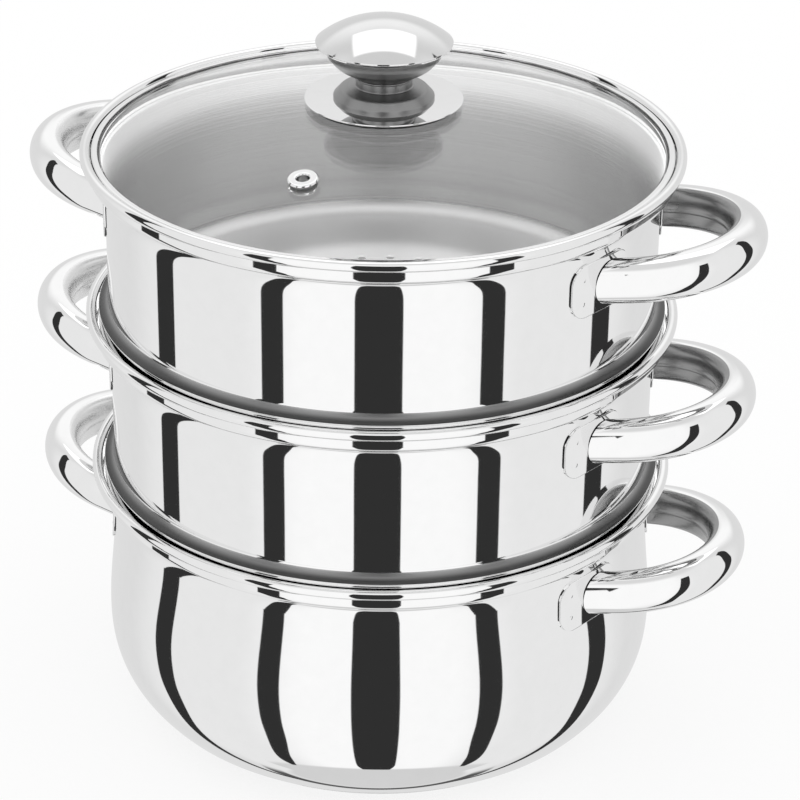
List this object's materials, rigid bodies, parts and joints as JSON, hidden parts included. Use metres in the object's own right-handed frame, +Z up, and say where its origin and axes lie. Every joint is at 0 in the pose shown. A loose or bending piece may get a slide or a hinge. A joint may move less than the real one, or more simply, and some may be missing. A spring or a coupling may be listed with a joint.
{
  "type": "three-tier steamer pot",
  "caption": "Polished steel stockpot with stacking perforated steamer tiers, loop side handles and a domed glass lid with a steel knob and vent.",
  "frame": {"origin": "centre of the pot's base on the surface it stands on", "axes": "+Z up along the axis of all vessels, +X towards the handle on the right, -Y towards the side that carries the lid vent"},
  "size_m": [0.3098, 0.2394, 0.2988],
  "materials": {
    "polished_steel": "mirror polished",
    "satin_steel": "satin",
    "core_aluminium": "plain",
    "clear_glass": "clear",
    "soft_seal": "matt"
  },
  "bodies": {
    "pot": {"pot_body": "polished_steel", "pot_base_core": "core_aluminium", "pot_base_cap": "polished_steel", "pot_handle_right": "polished_steel", "pot_handle_left": "polished_steel", "pot_handle_tabs": "polished_steel", "pot_spot_welds": "satin_steel"},
    "lower_steamer": {"lower_steamer_body": "polished_steel", "lower_steamer_handle_right": "polished_steel", "lower_steamer_handle_left": "polished_steel", "lower_steamer_handle_tabs": "polished_steel", "lower_steamer_spot_welds": "satin_steel"},
    "upper_steamer": {"upper_steamer_body": "polished_steel", "upper_steamer_handle_right": "polished_steel", "upper_steamer_handle_left": "polished_steel", "upper_steamer_handle_tabs": "polished_steel", "upper_steamer_spot_welds": "satin_steel"},
    "lid": {"lid_glass": "clear_glass", "lid_band": "polished_steel", "lid_seal": "soft_seal", "vent_eyelet": "polished_steel", "vent_grommet": "soft_seal", "knob_gasket": "soft_seal", "knob_lower_gasket": "soft_seal", "knob_flange": "polished_steel", "knob_stem": "polished_steel", "knob_bead": "polished_steel", "knob_bowl": "polished_steel", "knob_cap": "polished_steel", "knob_post": "satin_steel", "knob_screw": "satin_steel", "knob_washer": "satin_steel", "knob_nut": "satin_steel"}
  },
  "joints": [
    {"name": "lower_steamer_lift", "type": "slide", "parent": "pot", "child": "lower_steamer", "axis": [0, 0, 1], "range_m": [0, 0.06]},
    {"name": "upper_steamer_lift", "type": "slide", "parent": "lower_steamer", "child": "upper_steamer", "axis": [0, 0, 1], "range_m": [0, 0.06]},
    {"name": "lid_lift", "type": "slide", "parent": "upper_steamer", "child": "lid", "axis": [0, 0, 1], "range_m": [0, 0.06]}
  ]
}
